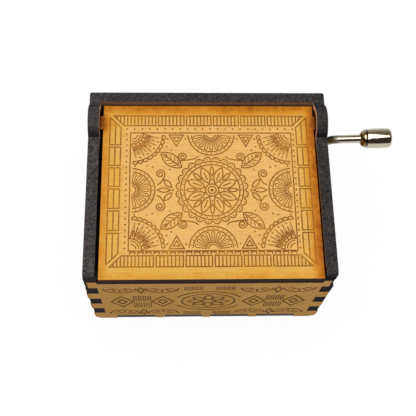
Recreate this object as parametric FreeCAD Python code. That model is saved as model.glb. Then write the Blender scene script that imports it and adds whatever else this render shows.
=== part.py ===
import FreeCAD, Part
import math
import os

# Hand-cranked comb music box in a laser-cut plywood case. Sizes are in millimetres.
# Origin: centre of the case's underside. +X points to the crank side, -Y to the front, +Z up.

V = FreeCAD.Vector
X_AXIS, Y_AXIS, Z_AXIS = V(1, 0, 0), V(0, 1, 0), V(0, 0, 1)

# ---- Case: five finger-jointed plywood boards -------------------------------------------
case_width = 64.0
case_depth = 53.0
ply = 3.0
front_height = 35.0
side_rise = 4.0
horn_rise = 1.55
horn_inset = 0.25
finger_rows = 7
lowest_finger_extra = 1.2
finger_proud = 0.2
finger_recess = 0.15
right_finger_step = 0.06
kerf = 0.16
foot_corner_radius = 2.5
nose_radius = 2.2
front_corner_round = 1.2
back_corner_round = 0.6
tab_length = 11.0
tab_pitch = 13.5
front_tab_count = 4
side_tab_count = 3

# ---- Lid: one board on two pivot tabs ---------------------------------------------------
lid_left_gap = 0.85
lid_right_gap = 0.4
lid_back_gap = 0.65
lid_front_recess = 0.25
pivot_to_back_wall = 5.75
pivot_tab_width = 4.0
pivot_play = 0.08
pivot_end_gap = 0.15
pivot_end_proud = 0.5
ear_radius = 5.5

# ---- Worm drive -------------------------------------------------------------------------
gear_module = 0.6
wheel_teeth = 20
pressure_angle = math.radians(20)
worm_pitch_radius = 2.4
addendum_share = 0.92
dedendum_share = 1.2
backlash = 0.16
wheel_width = 2.6
worm_length = 10.0

# ---- Movement: where it stands ----------------------------------------------------------
drum_axis_height = 10.6
drum_to_right_wall = 15.0
shaft_to_back_wall = 3.85
running_clearance = 0.04
end_float = 0.2

# ---- Drum -------------------------------------------------------------------------------
drum_radius = 6.4
drum_wall = 0.6
drum_end_margin = 0.8
drum_wheel_gap = 2.1
plug_depth = 1.5
hub_radius = 2.2
arbor_radius = 0.9
pin_radius = 0.2
pin_height = 0.85
pin_seat = 0.35

# ---- Comb -------------------------------------------------------------------------------
tooth_count = 18
tooth_pitch = 1.05
tooth_slot = 0.2
tooth_thickness = 0.7
tooth_tip_width = 0.45
tooth_tip_taper = 1.3
longest_tooth = 16.0
shortest_tooth = 10.6
tip_gap = 0.1
comb_thickness = 1.4
comb_land = 7.6
comb_margin = 0.5
weight_count = 7
weight_length = 3.4
tallest_weight = 2.6
weight_step = 0.28
weight_setback = 1.8

# ---- Bedplate and its brackets ----------------------------------------------------------
bed_thickness = 2.0
bed_lift = 1.5
bed_rim = 2.0
window_gap = 0.55
seat_setback = 0.6
arm_thickness = 2.0
arm_wall = 1.2
post_thickness = 1.4
post_wall = 2.0
bracket_thickness = 1.4
bracket_foot = 6.0
boss_radius = 3.0

# ---- Shaft, crank and knob --------------------------------------------------------------
tail_radius = 1.0
socket_radius = 2.0
socket_depth = 4.4
shaft_to_wall = 1.6
rod_radius = 1.13
rod_bend = 2.0
crank_wall_gap = 0.8
crank_throw = 15.2
crank_lean = math.radians(22.9)
handle_tilt = math.radians(1.66)
handle_length = 7.65
crank_hole_radius = 3.0
knob_radius = 2.66
knob_bulge = 0.07
knob_length = 8.42
knob_mouth_radius = 1.3
knob_lip_radius = 2.4
knob_lip_length = 1.27
knob_groove_width = 0.42
knob_groove_depth = 0.4
knob_shoulder_radius = 2.54
knob_shoulder_length = 1.1
knob_end_round = 0.85
knob_play = 0.08
bush_radius = 1.6
bush_inset = 1.95

# ---- Screws -----------------------------------------------------------------------------
machine_screw_radius = 1.0
machine_head_radius = 1.9
machine_head_height = 1.2
machine_grip = 4.0
screw_hole_gap = 0.12
slot_width = 0.5
slot_depth = 0.5
mount_screw_radius = 1.2
mount_head_radius = 2.4
mount_screw_sink = 0.15
mount_screw_overrun = 1.0
mount_screw_inset = 3.6

# ---- Places worked out from the sizes above ---------------------------------------------
half_width = case_width / 2
half_depth = case_depth / 2
inner_x = half_width - ply
inner_y = half_depth - ply
finger_end_x = half_width + finger_proud
finger_end_y = half_depth - finger_recess
side_height = front_height + side_rise
finger_height = (front_height + horn_rise - lowest_finger_extra) / finger_rows
pivot_y = inner_y - pivot_to_back_wall
pivot_z = front_height + ply / 2
pivot_hole_radius = math.hypot(pivot_tab_width / 2, ply / 2) + pivot_play

wheel_pitch_radius = gear_module * wheel_teeth / 2
addendum = addendum_share * gear_module
dedendum = dedendum_share * gear_module
wheel_radius = wheel_pitch_radius + addendum
worm_radius = worm_pitch_radius + addendum
worm_root_radius = worm_pitch_radius - dedendum
worm_lead = math.pi * gear_module

drum_x = inner_x - drum_to_right_wall
drum_z = ply + drum_axis_height
shaft_y = inner_y - shaft_to_back_wall
shaft_z = drum_z + wheel_pitch_radius + worm_pitch_radius

wheel_back = shaft_y + wheel_width / 2
wheel_front = shaft_y - wheel_width / 2
drum_back = wheel_front - drum_wheel_gap
drum_length = tooth_count * tooth_pitch + 2 * drum_end_margin
drum_front = drum_back - drum_length
pin_tip_radius = drum_radius + pin_height

bed_top = ply + bed_lift + bed_thickness
bed_bottom = ply + bed_lift
comb_top = drum_z + tooth_thickness / 2
seat_top = comb_top - comb_thickness
tooth_tip_x = drum_x - pin_tip_radius - tip_gap
longest_root_x = tooth_tip_x - longest_tooth
comb_back_x = longest_root_x - comb_land
seat_front_x = longest_root_x - seat_setback
first_tooth_y = (drum_front + drum_back - (tooth_count - 1) * tooth_pitch) / 2
tooth_width = tooth_pitch - tooth_slot
comb_front = first_tooth_y - tooth_pitch / 2 - comb_margin
comb_back = first_tooth_y + (tooth_count - 0.5) * tooth_pitch + comb_margin

arm_inner = pin_tip_radius + window_gap
arm_outer = arm_inner + arm_thickness
post_front = wheel_back + 2 * end_float
post_back = post_front + post_thickness
bracket_back = drum_front - 2 * end_float
bracket_front = bracket_back - bracket_thickness
bed_left = comb_back_x - bed_rim
bed_right = drum_x + arm_outer + bed_rim / 2
bed_front = bracket_front - bracket_foot
bed_back = post_back

shaft_end_x = inner_x - shaft_to_wall
arm_x = half_width + crank_wall_gap + rod_radius
handle_y = shaft_y - crank_throw * math.sin(crank_lean)
handle_z = shaft_z + crank_throw * math.cos(crank_lean)
arm_top = V(arm_x, handle_y, handle_z)
arm_way = V(0, -math.sin(crank_lean), math.cos(crank_lean))
handle_way = X_AXIS * math.cos(handle_tilt) + arm_way.cross(X_AXIS) * math.sin(handle_tilt)
knob_mouth = arm_top + handle_way * handle_length
knob_start_x = arm_x + handle_length
bush_start_x = knob_start_x + bush_inset + end_float
rod_end_x = knob_start_x + knob_length - knob_end_round - end_float


# ---- Small tools ------------------------------------------------------------------------
def block(x0, x1, y0, y1, z0, z1):
    return Part.makeBox(x1 - x0, y1 - y0, z1 - z0, V(x0, y0, z0))


def rod(radius, start, end):
    along = end - start
    return Part.makeCylinder(radius, along.Length, start, along)


def fuse(first, *others):
    return first.multiFuse(list(others)).removeSplitter()


def cut(first, *others):
    return first.cut(list(others)).removeSplitter()


def round_corner(shape, axis, places, radius):
    """Fillets the edges along an axis that pass through the given places."""
    chosen = []
    for edge in shape.Edges:
        if edge.Curve.TypeId != "Part::GeomLine":
            continue
        along = edge.tangentAt(edge.FirstParameter)
        if abs(along.dot(axis)) < 0.999:
            continue
        if any(edge.distToShape(Part.Vertex(place))[0] < 0.01 for place in places):
            chosen.append(edge)
    return shape.makeFillet(radius, chosen)


def corner_cutter(corner, inward, radius, height):
    """What a rounding in plan takes off an upright corner; inward is the way into the board."""
    middle = corner + inward * radius
    outside = corner - inward
    cutter = block(min(outside.x, middle.x), max(outside.x, middle.x),
                   min(outside.y, middle.y), max(outside.y, middle.y),
                   corner.z, corner.z + height)
    return cutter.cut(rod(radius, middle, middle + Z_AXIS * height))


def mirrored(shape):
    """The same shape on the other side of the case's middle plane."""
    return shape.mirror(V(0, 0, 0), X_AXIS)


def prism(points, direction):
    """A straight solid over a closed outline."""
    return Part.Face(Part.makePolygon(points + points[:1])).extrude(direction)


# ---- Case -------------------------------------------------------------------------------
def finger_row(index, spread):
    """Low and high edge of one finger row, each moved outwards by spread. Row 0 is the tallest."""
    low = lowest_finger_extra + index * finger_height if index else 0
    high = lowest_finger_extra + (index + 1) * finger_height
    return low - spread, high + spread


def tab_starts(count):
    """Where each of a row of bottom tabs starts, centred on the board."""
    first = -((count - 1) * tab_pitch + tab_length) / 2
    return [first + i * tab_pitch for i in range(count)]


def end_wall(y0):
    """Front or back board without its top strip: fingers at both ends, the highest of which
    stand above the board as horns beside the lid, and notches below."""
    wall = block(-finger_end_x, finger_end_x, y0, y0 + ply, 0, front_height)
    horn_x = inner_x - horn_inset
    horns = [block(x0, x1, y0, y0 + ply, front_height - ply, front_height + horn_rise)
             for x0, x1 in ((-finger_end_x, -horn_x), (horn_x, finger_end_x))]
    wall = fuse(wall, *horns)
    places = [V(side * finger_end_x, y0 + ply / 2, 0) for side in (-1, 1)]
    wall = round_corner(wall, Y_AXIS, places, min(foot_corner_radius, finger_height / 2))
    tools = []
    for row in range(1, finger_rows, 2):
        low, high = finger_row(row, kerf / 2)
        for x0 in (-inner_x + kerf / 2 - 2 * ply, inner_x - kerf / 2):
            tools.append(block(x0, x0 + 2 * ply, y0, y0 + ply, low, high))
    for start in tab_starts(front_tab_count):
        tools.append(block(start - kerf / 2, start + tab_length + kerf / 2,
                           y0, y0 + ply, -ply, ply + kerf / 2))
    return cut(wall, *tools)


def front_wall():
    """The right-hand fingers end a little further in from row to row, the horn furthest."""
    wall = end_wall(-half_depth)
    tools = []
    for row in range(2, finger_rows, 2):
        low, high = finger_row(row, kerf)
        tools.append(block(right_finger_end(row), finger_end_x + ply, -half_depth - ply, inner_y,
                           low, high))
    wall = cut(wall, *tools)
    horn_top = front_height + horn_rise
    places = [V(-finger_end_x, -half_depth, horn_top),
              V(right_finger_end(finger_rows - 1), -half_depth, horn_top)]
    return round_corner(wall, Z_AXIS, places, front_corner_round)


def right_finger_end(row):
    return finger_end_x - finger_proud / 2 - row * right_finger_step


def back_wall():
    strip = block(-inner_x + kerf / 2, inner_x - kerf / 2, inner_y, half_depth,
                  front_height, side_height)
    return fuse(end_wall(inner_y), strip)


def side_wall():
    """Left board: fingers front and back, notches below, and the ear round the pivot hole."""
    wall = block(-half_width, -inner_x, -finger_end_y, half_depth, 0, side_height)
    nose = V(-half_width + ply / 2, -finger_end_y, side_height)
    wall = round_corner(wall, X_AXIS, [nose], min(nose_radius, 0.9 * (side_rise - horn_rise)))
    ear = rod(ear_radius, V(-half_width, pivot_y, pivot_z), V(-inner_x, pivot_y, pivot_z))
    wall = fuse(wall, ear)
    tools = [rod(pivot_hole_radius, V(-half_width - ply, pivot_y, pivot_z),
                 V(-inner_x + ply, pivot_y, pivot_z))]
    for row in range(0, finger_rows, 2):
        low, high = finger_row(row, kerf / 2)
        for y0 in (-inner_y + kerf / 2 - 2 * ply, inner_y - kerf / 2):
            tools.append(block(-half_width, -inner_x, y0, y0 + 2 * ply, low, high))
    horn_top = front_height + horn_rise - kerf / 2
    tools.append(corner_cutter(V(-half_width, -finger_end_y, horn_top), V(1, 1, 0),
                               front_corner_round, ply))
    tools.append(corner_cutter(V(-half_width, half_depth, horn_top), V(1, -1, 0),
                               back_corner_round, ply))
    for start in tab_starts(side_tab_count):
        tools.append(block(-half_width, -inner_x, start - kerf / 2,
                           start + tab_length + kerf / 2, -ply, ply + kerf / 2))
    return cut(wall, *tools)


def right_wall():
    hole = rod(crank_hole_radius, V(inner_x - ply, shaft_y, shaft_z),
               V(half_width + ply, shaft_y, shaft_z))
    return cut(mirrored(side_wall()), hole)


def bottom_board():
    x1, y1 = inner_x - kerf / 2, inner_y - kerf / 2
    tabs = []
    tab_end_x = half_width - finger_recess
    for start in tab_starts(front_tab_count):
        tabs.append(block(start, start + tab_length, -finger_end_y, finger_end_y, 0, ply))
    for start in tab_starts(side_tab_count):
        tabs.append(block(-tab_end_x, tab_end_x, start, start + tab_length, 0, ply))
    board = fuse(block(-x1, x1, -y1, y1, 0, ply), *tabs)
    holes = []
    for x, y in mount_screw_places():
        sink = mount_head_radius + screw_hole_gap
        holes.append(rod(mount_screw_radius + screw_hole_gap, V(x, y, -ply), V(x, y, 2 * ply)))
        holes.append(rod(sink, V(x, y, -ply), V(x, y, mount_screw_sink)))
        holes.append(Part.makeCone(sink, 0, sink, V(x, y, mount_screw_sink), Z_AXIS))
    return cut(board, *holes)


def lid():
    """Board between the side walls, a little nearer to the right one, with its pivot tabs, the
    right one of which comes out through the wall."""
    board = block(lid_left_gap - inner_x, inner_x - lid_right_gap, lid_front_recess - half_depth,
                  inner_y - lid_back_gap, front_height, front_height + ply)
    tabs = block(pivot_end_gap - half_width, half_width + pivot_end_proud,
                 pivot_y - pivot_tab_width / 2, pivot_y + pivot_tab_width / 2,
                 front_height, front_height + ply)
    return fuse(board, tabs)


# ---- Bedplate ---------------------------------------------------------------------------
def mount_screw_places():
    """Three feet: two at the front corners and one at the back left."""
    left, right = bed_left + mount_screw_inset, bed_right - mount_screw_inset
    front, back = bed_front + mount_screw_inset, bed_back - mount_screw_inset
    return [(left, front), (right, front), (left, back)]


def comb_screw_places():
    x = (comb_back_x + seat_front_x) / 2
    quarter = (comb_back - comb_front) / 4
    return [(x, comb_front + quarter), (x, comb_back - quarter)]


def bracket_screw_place():
    return drum_x, bracket_front - bracket_foot / 2


def shaft_arm(x0, bore):
    """One upright of the worm bracket, rounded over the shaft it carries."""
    outer = max(socket_radius, tail_radius) + running_clearance + arm_wall
    upright = block(x0, x0 + arm_thickness, shaft_y - outer, min(shaft_y + outer, bed_back),
                    bed_bottom, shaft_z)
    crown = rod(outer, V(x0, shaft_y, shaft_z), V(x0 + arm_thickness, shaft_y, shaft_z))
    hole = rod(bore, V(x0 - arm_thickness, shaft_y, shaft_z),
               V(x0 + 2 * arm_thickness, shaft_y, shaft_z))
    return cut(fuse(upright, crown), hole)


def bearing_post(y0, y1, foot_z):
    """An upright round the drum's arbor, rounded at the top."""
    outer = arbor_radius + running_clearance + post_wall
    upright = block(drum_x - outer, drum_x + outer, y0, y1, foot_z, drum_z)
    crown = rod(outer, V(drum_x, y0, drum_z), V(drum_x, y1, drum_z))
    hole = rod(arbor_radius + running_clearance, V(drum_x, y0 - post_thickness, drum_z),
               V(drum_x, y1 + post_thickness, drum_z))
    return cut(fuse(upright, crown), hole)


def bedplate():
    plate = block(bed_left, bed_right, bed_front, bed_back, bed_bottom, bed_top)
    corners = [V(x, y, bed_top) for x in (bed_left, bed_right) for y in (bed_front, bed_back)]
    plate = round_corner(plate, Z_AXIS, corners, bed_rim)
    seat = block(comb_back_x - bed_rim / 2, seat_front_x, comb_front, comb_back,
                 bed_bottom, seat_top)
    window = block(drum_x - arm_inner, drum_x + arm_inner, bracket_back, post_front,
                   bed_bottom - bed_lift, bed_top + bed_thickness)
    plate = fuse(cut(plate, window), seat,
                 shaft_arm(drum_x - arm_outer, tail_radius + running_clearance),
                 shaft_arm(drum_x + arm_inner, socket_radius + running_clearance),
                 bearing_post(post_front, post_back, bed_bottom),
                 *[rod(boss_radius, V(x, y, ply), V(x, y, bed_top))
                   for x, y in mount_screw_places()])
    holes = [rod(mount_screw_radius, V(x, y, ply - bed_lift), V(x, y, bed_top + bed_lift))
             for x, y in mount_screw_places()]
    for x, y in comb_screw_places():
        holes.append(rod(machine_screw_radius, V(x, y, seat_top - machine_grip),
                         V(x, y, seat_top + comb_thickness)))
    x, y = bracket_screw_place()
    holes.append(rod(machine_screw_radius, V(x, y, 0), V(x, y, bed_top + bed_thickness)))
    return cut(plate, *holes)


def drum_bearing_bracket():
    """Angle bracket that carries the front end of the drum's arbor."""
    outer = arbor_radius + running_clearance + post_wall
    foot = block(drum_x - outer, drum_x + outer, bracket_front - bracket_foot, bracket_back,
                 bed_top, bed_top + bracket_thickness)
    x, y = bracket_screw_place()
    hole = rod(machine_screw_radius + screw_hole_gap, V(x, y, bed_bottom),
               V(x, y, bed_top + 2 * bracket_thickness))
    return cut(fuse(bearing_post(bracket_front, bracket_back, bed_top), foot), hole)


# ---- Screws -----------------------------------------------------------------------------
def cheese_screw(x, y, seat_z, length):
    """Slotted cheese-head machine screw under a seat height."""
    head = rod(machine_head_radius, V(x, y, seat_z), V(x, y, seat_z + machine_head_height))
    shank = rod(machine_screw_radius, V(x, y, seat_z - length), V(x, y, seat_z))
    top = seat_z + machine_head_height
    slot = block(x - machine_head_radius - ply, x + machine_head_radius + ply,
                 y - slot_width / 2, y + slot_width / 2, top - slot_depth, top + ply)
    return cut(fuse(head, shank), slot)


def comb_screws():
    return [cheese_screw(x, y, comb_top, comb_thickness + machine_grip)
            for x, y in comb_screw_places()]


def bracket_screw():
    x, y = bracket_screw_place()
    return cheese_screw(x, y, bed_top + bracket_thickness, bracket_thickness + bed_thickness)


def mounting_screws():
    """Countersunk screws driven up through the bottom board into the bedplate's feet."""
    screws = []
    for x, y in mount_screw_places():
        foot = mount_screw_sink
        head = Part.makeCone(mount_head_radius, 0, mount_head_radius, V(x, y, foot), Z_AXIS)
        shank = rod(mount_screw_radius, V(x, y, foot), V(x, y, bed_top + mount_screw_overrun))
        slot = block(x - mount_head_radius - ply, x + mount_head_radius + ply,
                     y - slot_width / 2, y + slot_width / 2, foot - ply, foot + slot_depth)
        screws.append(cut(fuse(head, shank), slot))
    return screws


# ---- Comb -------------------------------------------------------------------------------
def tooth_root_x(index):
    """The bass teeth at the front are the longest, the treble teeth at the back shortest."""
    share = index / (tooth_count - 1)
    return tooth_tip_x - longest_tooth + share * (longest_tooth - shortest_tooth)


def tooth_y(index):
    return first_tooth_y + index * tooth_pitch


def comb():
    z0 = comb_top - tooth_thickness
    outline = [V(comb_back_x, comb_back, z0), V(comb_back_x, comb_front, z0),
               V(tooth_root_x(0), comb_front, z0)]
    for i in range(tooth_count):
        y, root = tooth_y(i), tooth_root_x(i)
        side, tip = tooth_width / 2, tooth_tip_width / 2
        neck = tooth_tip_x - tooth_tip_taper
        outline += [V(root, y - side, z0), V(neck, y - side, z0), V(tooth_tip_x, y - tip, z0),
                    V(tooth_tip_x, y + tip, z0), V(neck, y + side, z0), V(root, y + side, z0)]
    outline.append(V(tooth_root_x(tooth_count - 1), comb_back, z0))
    teeth = prism(outline, V(0, 0, tooth_thickness))
    land = block(comb_back_x, seat_front_x, comb_front, comb_back,
                 comb_top - comb_thickness, comb_top)
    holes = [rod(machine_screw_radius + screw_hole_gap, V(x, y, seat_top - ply),
                 V(x, y, comb_top + ply)) for x, y in comb_screw_places()]
    return cut(fuse(teeth, land), *holes)


def comb_weights():
    """Lead blocks under the bass teeth, smaller towards the treble."""
    weights = []
    under = comb_top - tooth_thickness
    end = tooth_tip_x - weight_setback
    for i in range(weight_count):
        height = max(tallest_weight - i * weight_step, weight_step)
        y = tooth_y(i)
        weights.append(block(end - weight_length, end, y - tooth_width / 2,
                             y + tooth_width / 2, under - height, under))
    return weights


# ---- Drum -------------------------------------------------------------------------------
def drum_sleeve():
    outer = rod(drum_radius, V(drum_x, drum_front, drum_z), V(drum_x, drum_back, drum_z))
    inner = rod(drum_radius - drum_wall, V(drum_x, drum_front - ply, drum_z),
                V(drum_x, drum_back + ply, drum_z))
    return cut(outer, inner)


def drum_pins():
    """Pins in one track for each tooth, spread so that no two tracks are alike."""
    pins = []
    golden = math.radians(137.508)
    for i in range(tooth_count):
        count = 3 + (i * 5) % 4
        for k in range(count):
            angle = i * golden + k * 2 * math.pi / count + 0.35 * math.sin(2.3 * i + 1.7 * k)
            out = V(math.cos(angle), 0, math.sin(angle))
            axis_point = V(drum_x, tooth_y(i), drum_z)
            pins.append(rod(pin_radius, axis_point + out * (drum_radius - pin_seat),
                            axis_point + out * pin_tip_radius))
    return pins


def drum_end_cap():
    """Moulded plug in the front end of the sleeve."""
    plug = rod(drum_radius - drum_wall, V(drum_x, drum_front, drum_z),
               V(drum_x, drum_front + plug_depth, drum_z))
    boss = rod(hub_radius, V(drum_x, drum_front - end_float, drum_z),
               V(drum_x, drum_front, drum_z))
    bore = rod(arbor_radius, V(drum_x, drum_front - ply, drum_z),
               V(drum_x, drum_front + ply, drum_z))
    return cut(fuse(plug, boss), bore)


def drum_arbor():
    return rod(arbor_radius, V(drum_x, bracket_front - 2 * end_float, drum_z),
               V(drum_x, post_back - end_float, drum_z))


def involute(angle):
    return math.tan(angle) - angle


def tooth_half_angle(radius):
    """Half the angle that one wheel tooth fills at a radius."""
    base = wheel_pitch_radius * math.cos(pressure_angle)
    pitch_half = (math.pi * gear_module - backlash) / 2 / (2 * wheel_pitch_radius)
    local = math.acos(min(1.0, base / max(radius, base)))
    return pitch_half + involute(pressure_angle) - involute(local)


def wheel_outline(y, turn):
    """The toothed outline at one station, with a gap between teeth straight above the axis."""
    root = wheel_pitch_radius - dedendum
    base = wheel_pitch_radius * math.cos(pressure_angle)
    flank = [root, max(root, base), wheel_pitch_radius,
             wheel_pitch_radius + addendum / 2, wheel_radius]
    points = []
    for i in range(wheel_teeth):
        centre = (i + 0.5) * 2 * math.pi / wheel_teeth + turn
        side = [(r, -tooth_half_angle(r)) for r in flank]
        side += [(r, tooth_half_angle(r)) for r in reversed(flank)]
        for radius, offset in side:
            angle = centre + offset
            points.append(V(drum_x + radius * math.sin(angle), y,
                            drum_z + radius * math.cos(angle)))
    return Part.makePolygon(points + points[:1])


def drive_wheel():
    """Moulded worm wheel with its plug in the back end of the sleeve."""
    lead_slope = worm_lead / (2 * math.pi * worm_pitch_radius)
    half_twist = lead_slope * wheel_width / 2 / wheel_pitch_radius
    gear = Part.makeLoft([wheel_outline(wheel_front, -half_twist),
                          wheel_outline(wheel_back, half_twist)], True, True)
    neck = rod(hub_radius + 1.0, V(drum_x, drum_back, drum_z), V(drum_x, wheel_front, drum_z))
    plug = rod(drum_radius - drum_wall, V(drum_x, drum_back - plug_depth, drum_z),
               V(drum_x, drum_back, drum_z))
    boss = rod(hub_radius, V(drum_x, wheel_back, drum_z),
               V(drum_x, wheel_back + end_float, drum_z))
    bore = rod(arbor_radius, V(drum_x, drum_back - ply, drum_z),
               V(drum_x, wheel_back + ply, drum_z))
    return cut(fuse(gear, neck, plug, boss), bore)


# ---- Worm, shaft, crank and knob --------------------------------------------------------
def worm_thread():
    """One helical ridge, centred over the drum's axis where it meets the wheel."""
    half_pitch_width = (math.pi * gear_module - backlash) / 4
    slope = math.tan(pressure_angle)
    turns = math.ceil(worm_length / worm_lead) + 1
    height = turns * worm_lead
    inner, outer = worm_root_radius - dedendum / 4, worm_radius
    widths = [(r, half_pitch_width - (r - worm_pitch_radius) * slope) for r in (inner, outer)]
    (r0, w0), (r1, w1) = widths
    points = [V(r0, 0, -w0), V(r1, 0, -w1), V(r1, 0, w1), V(r0, 0, w0)]
    profile = Part.makePolygon(points + points[:1])
    spine = Part.makeHelix(worm_lead, height, worm_pitch_radius)
    ridge = Part.Wire(spine.Edges).makePipeShell([profile], True, True)
    middle = math.floor(turns / 2) * worm_lead + 0.75 * worm_lead
    ridge.translate(V(0, 0, -middle))
    ridge.rotate(V(0, 0, 0), V(1, 1, 1), 120)
    ridge.translate(V(drum_x, shaft_y, shaft_z))
    return ridge


def worm():
    """Worm and its plain hubs, pressed on the shaft between the bracket's arms."""
    start, end = drum_x - worm_length / 2, drum_x + worm_length / 2
    envelope = rod(worm_radius + 1, V(start, shaft_y, shaft_z), V(end, shaft_y, shaft_z))
    thread = worm_thread().common(envelope)
    core = rod(worm_root_radius, V(drum_x - arm_inner + end_float, shaft_y, shaft_z),
               V(drum_x + arm_inner - end_float, shaft_y, shaft_z))
    bore = rod(tail_radius, V(drum_x - arm_outer, shaft_y, shaft_z),
               V(drum_x + arm_outer, shaft_y, shaft_z))
    return core.fuse(thread).cut(bore)


def crank_shaft():
    """Shaft through the worm, with a tapped socket for the crank at its right end."""
    shoulder = drum_x + arm_inner - end_float
    tail = rod(tail_radius, V(drum_x - arm_outer - end_float, shaft_y, shaft_z),
               V(shoulder, shaft_y, shaft_z))
    socket = rod(socket_radius, V(shoulder, shaft_y, shaft_z),
                 V(shaft_end_x, shaft_y, shaft_z))
    bore = rod(rod_radius, V(shaft_end_x - socket_depth, shaft_y, shaft_z),
               V(shaft_end_x + ply, shaft_y, shaft_z))
    return cut(fuse(tail, socket), bore)


def crank_rod():
    """Wire crank: into the socket, out through the wall, up the arm and along the handle, which
    is bent a little back from the shaft's direction."""
    start = V(shaft_end_x - socket_depth, shaft_y, shaft_z)
    low = V(arm_x, shaft_y, shaft_z)
    end = arm_top + handle_way * (rod_end_x - arm_x)
    diagonal = math.sqrt(0.5)
    low_centre = low + (arm_way - X_AXIS) * rod_bend
    high_centre = arm_top + (handle_way - arm_way) * rod_bend
    low_mid = low_centre + (X_AXIS - arm_way) * (rod_bend * diagonal)
    high_mid = high_centre + (arm_way - handle_way) * (rod_bend * diagonal)
    edges = [
        Part.LineSegment(start, low - X_AXIS * rod_bend).toShape(),
        Part.Arc(low - X_AXIS * rod_bend, low_mid, low + arm_way * rod_bend).toShape(),
        Part.LineSegment(low + arm_way * rod_bend, arm_top - arm_way * rod_bend).toShape(),
        Part.Arc(arm_top - arm_way * rod_bend, high_mid, arm_top + handle_way * rod_bend).toShape(),
        Part.LineSegment(arm_top + handle_way * rod_bend, end).toShape(),
    ]
    section = Part.Wire([Part.makeCircle(rod_radius, start, X_AXIS)])
    wire = Part.Wire(edges).makePipeShell([section], True, False)
    bush = rod(bush_radius, arm_top + handle_way * (bush_start_x - arm_x), end)
    return fuse(wire, bush)


def crank_knob():
    """Turned knob that spins on the handle's bush and is closed round the wire behind it."""
    x0, x1 = knob_start_x, knob_start_x + knob_length
    inside, cavity = x0 + bush_inset, x1 - knob_end_round
    groove = x0 + knob_lip_length
    floor = knob_lip_radius - knob_groove_depth
    step = groove + knob_groove_width
    shoulder_end = step + knob_shoulder_length
    bore, bush_bore = rod_radius + knob_play, bush_radius + knob_play
    end_radius = knob_radius - knob_end_round
    diagonal = math.sqrt(0.5)

    def at(x, radius):
        return V(x, handle_y, handle_z + radius)

    def straight(*points):
        return [Part.LineSegment(a, b).toShape() for a, b in zip(points, points[1:])]

    def bowed(start, end, bow):
        """An arc from start to end that stands out from the chord's middle by bow."""
        middle = (start + end) * 0.5
        way = (end - start).normalize()
        return [Part.Arc(start, middle + V(-way.z, 0, way.x) * bow, end).toShape()]

    lip_start, lip_end = at(x0, knob_mouth_radius), at(groove, knob_lip_radius)
    body_start, body = at(step, knob_shoulder_radius), at(shoulder_end, knob_radius)
    round_start, round_end = at(cavity, knob_radius), at(x1, end_radius)
    edges = straight(at(x0, bore), lip_start)
    edges += bowed(lip_start, lip_end, knob_lip_length / 5)
    edges += straight(lip_end, at(groove, floor), at(step, floor), body_start)
    edges += bowed(body_start, body, knob_shoulder_length / 40)
    edges += bowed(body, round_start, knob_bulge)
    edges += bowed(round_start, round_end, knob_end_round * (1 - diagonal))
    edges += straight(round_end, at(x1, 0), at(cavity, 0), at(cavity, bush_bore),
                      at(inside, bush_bore), at(inside, bore), at(x0, bore))
    knob = Part.Face(Part.Wire(edges)).revolve(V(x0, handle_y, handle_z), X_AXIS, 360)
    knob.rotate(arm_top, arm_way, math.degrees(handle_tilt))
    return knob


PIECES = {
    "front_wall": front_wall,
    "back_wall": back_wall,
    "left_wall": side_wall,
    "right_wall": right_wall,
    "bottom_board": bottom_board,
    "lid": lid,
    "bedplate": bedplate,
    "drum_bearing_bracket": drum_bearing_bracket,
    "bracket_screw": bracket_screw,
    "mounting_screws": mounting_screws,
    "comb": comb,
    "comb_weights": comb_weights,
    "comb_screws": comb_screws,
    "drum_sleeve": drum_sleeve,
    "drum_pins": drum_pins,
    "drum_end_cap": drum_end_cap,
    "drum_arbor": drum_arbor,
    "drive_wheel": drive_wheel,
    "worm": worm,
    "crank_shaft": crank_shaft,
    "crank_rod": crank_rod,
    "crank_knob": crank_knob,
}


def main():
    os.makedirs("parts", exist_ok=True)
    for name, make in PIECES.items():
        made = make()
        shape = Part.makeCompound(made) if isinstance(made, list) else made
        shape.exportStep(f"parts/{name}.step")
        box = shape.BoundBox
        print(f"{name}: {len(shape.Solids)} solid(s), valid {shape.isValid()}, "
              f"volume {shape.Volume:.1f}, {box.XLength:.1f} x {box.YLength:.1f} x {box.ZLength:.1f}")


main()
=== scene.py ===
import math

import bmesh
import bpy
from mathutils import Matrix, Vector
from mathutils.geometry import delaunay_2d_cdt


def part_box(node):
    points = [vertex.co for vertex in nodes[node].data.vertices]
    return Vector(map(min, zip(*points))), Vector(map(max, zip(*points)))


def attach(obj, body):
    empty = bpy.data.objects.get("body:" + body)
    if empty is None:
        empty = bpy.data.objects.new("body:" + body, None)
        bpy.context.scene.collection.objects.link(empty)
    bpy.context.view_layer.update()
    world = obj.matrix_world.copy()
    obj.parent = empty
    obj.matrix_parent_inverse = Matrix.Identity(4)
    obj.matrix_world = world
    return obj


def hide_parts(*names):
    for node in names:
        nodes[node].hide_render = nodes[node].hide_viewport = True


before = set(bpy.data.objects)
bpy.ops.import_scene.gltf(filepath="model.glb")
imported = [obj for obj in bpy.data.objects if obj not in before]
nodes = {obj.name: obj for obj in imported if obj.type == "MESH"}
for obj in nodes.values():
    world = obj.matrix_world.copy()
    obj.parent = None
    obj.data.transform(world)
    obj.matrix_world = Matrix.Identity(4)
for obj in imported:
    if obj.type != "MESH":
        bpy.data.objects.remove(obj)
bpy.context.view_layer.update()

# Looks of a hand-cranked music box: laser-cut plywood case with an engraved lid, a nickelled crank
# and the pinned-drum movement inside. Sizes are in millimetres and turned into metres by MM.

MM = 0.001
X, Y, Z = 0, 1, 2

# ---- Camera ---------------------------------------------------------------------------------
camera_place = (-8.827, -80.932, 221.835)
camera_dip = math.radians(67.993)
camera_turn = math.radians(6.465)
camera_roll = math.radians(5.819)
focal_length = 766.261
picture_side = 416
film_width = 36.0

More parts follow.
